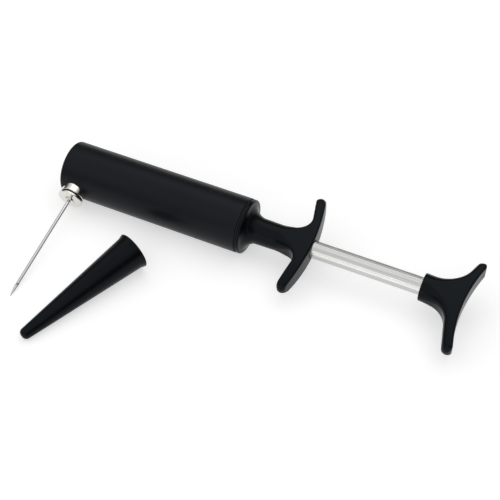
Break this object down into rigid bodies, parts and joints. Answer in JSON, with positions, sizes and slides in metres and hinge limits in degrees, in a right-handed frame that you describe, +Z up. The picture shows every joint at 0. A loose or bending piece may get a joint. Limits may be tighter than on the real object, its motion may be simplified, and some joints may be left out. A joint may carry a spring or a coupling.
{
  "type": "corkscrew",
  "caption": "Air-pump cork remover: barrel with a hollow side needle, finger-grip cap, grooved plunger rod with a saddle handle, and a loose conical needle guard.",
  "frame": {"origin": "centre of the barrel's closed, flat end", "axes": "+X along the barrel and the rod towards the push handle, +Z up from the table that the opener lies on; the needle points along -Y and 10.2 degrees down to the table"},
  "size_m": [0.2515, 0.1461, 0.033],
  "materials": {
    "barrel_black": "satin",
    "moulded_black": "semi-gloss moulded",
    "rod_aluminium": "satin, drawn",
    "bright_chrome": "polished",
    "needle_steel": "polished",
    "inner_brass": "turned",
    "inner_steel": "zinc plated",
    "seal_rubber": "matt",
    "bush_plastic": "moulded"
  },
  "bodies": {
    "barrel_unit": {"barrel": "barrel_black", "nipple": "bright_chrome", "nipple_washer": "inner_steel", "nipple_lock_nut": "inner_brass", "valve_spring": "inner_steel", "cap_seal": "seal_rubber", "grip_cap": "moulded_black", "rod_bush": "bush_plastic", "buffer_ring": "seal_rubber"},
    "plunger": {"piston_rod": "rod_aluminium", "push_handle": "moulded_black", "handle_stud": "inner_steel", "piston_body": "bush_plastic", "piston_cup": "seal_rubber", "cup_washer": "inner_steel", "piston_screw": "inner_steel"},
    "check_ball": {"valve_ball": "inner_steel"},
    "gasket": {"needle_gasket": "seal_rubber"},
    "needle": {"needle_carrier": "bright_chrome", "needle_collar": "inner_brass", "needle_tube": "needle_steel", "needle_point": "needle_steel"},
    "guard": {"needle_guard": "moulded_black"}
  },
  "joints": [
    {"name": "pump_stroke", "type": "slide", "parent": "barrel_unit", "child": "plunger", "axis": [1, 0, 0], "range_m": [-0.0645, 0]},
    {"name": "valve_lift", "type": "slide", "parent": "barrel_unit", "child": "check_ball", "axis": [0, -0.9842, -0.1768], "range_m": [0, 0.0008], "stiffness_N_per_m": 20, "springref_m": -0.0005},
    {"name": "needle_back_off", "type": "slide", "parent": "barrel_unit", "child": "gasket", "axis": [0, -0.9842, -0.1768], "range_m": [0, 0.00225]},
    {"name": "needle_turn", "type": "hinge", "parent": "gasket", "child": "needle", "pos_m": [0.009, -0.01919, -0.00345], "axis": [0, -0.9842, -0.1768], "range_deg": [0, 1080]},
    {"name": "guard_lift", "type": "slide", "parent": "barrel_unit", "child": "guard", "axis": [0, 0, 1], "range_m": [0, 0.12]}
  ],
  "couplings": [
    {"joint": "needle_back_off", "follows": "needle_turn", "m_per_rad": 0.00011937}
  ]
}
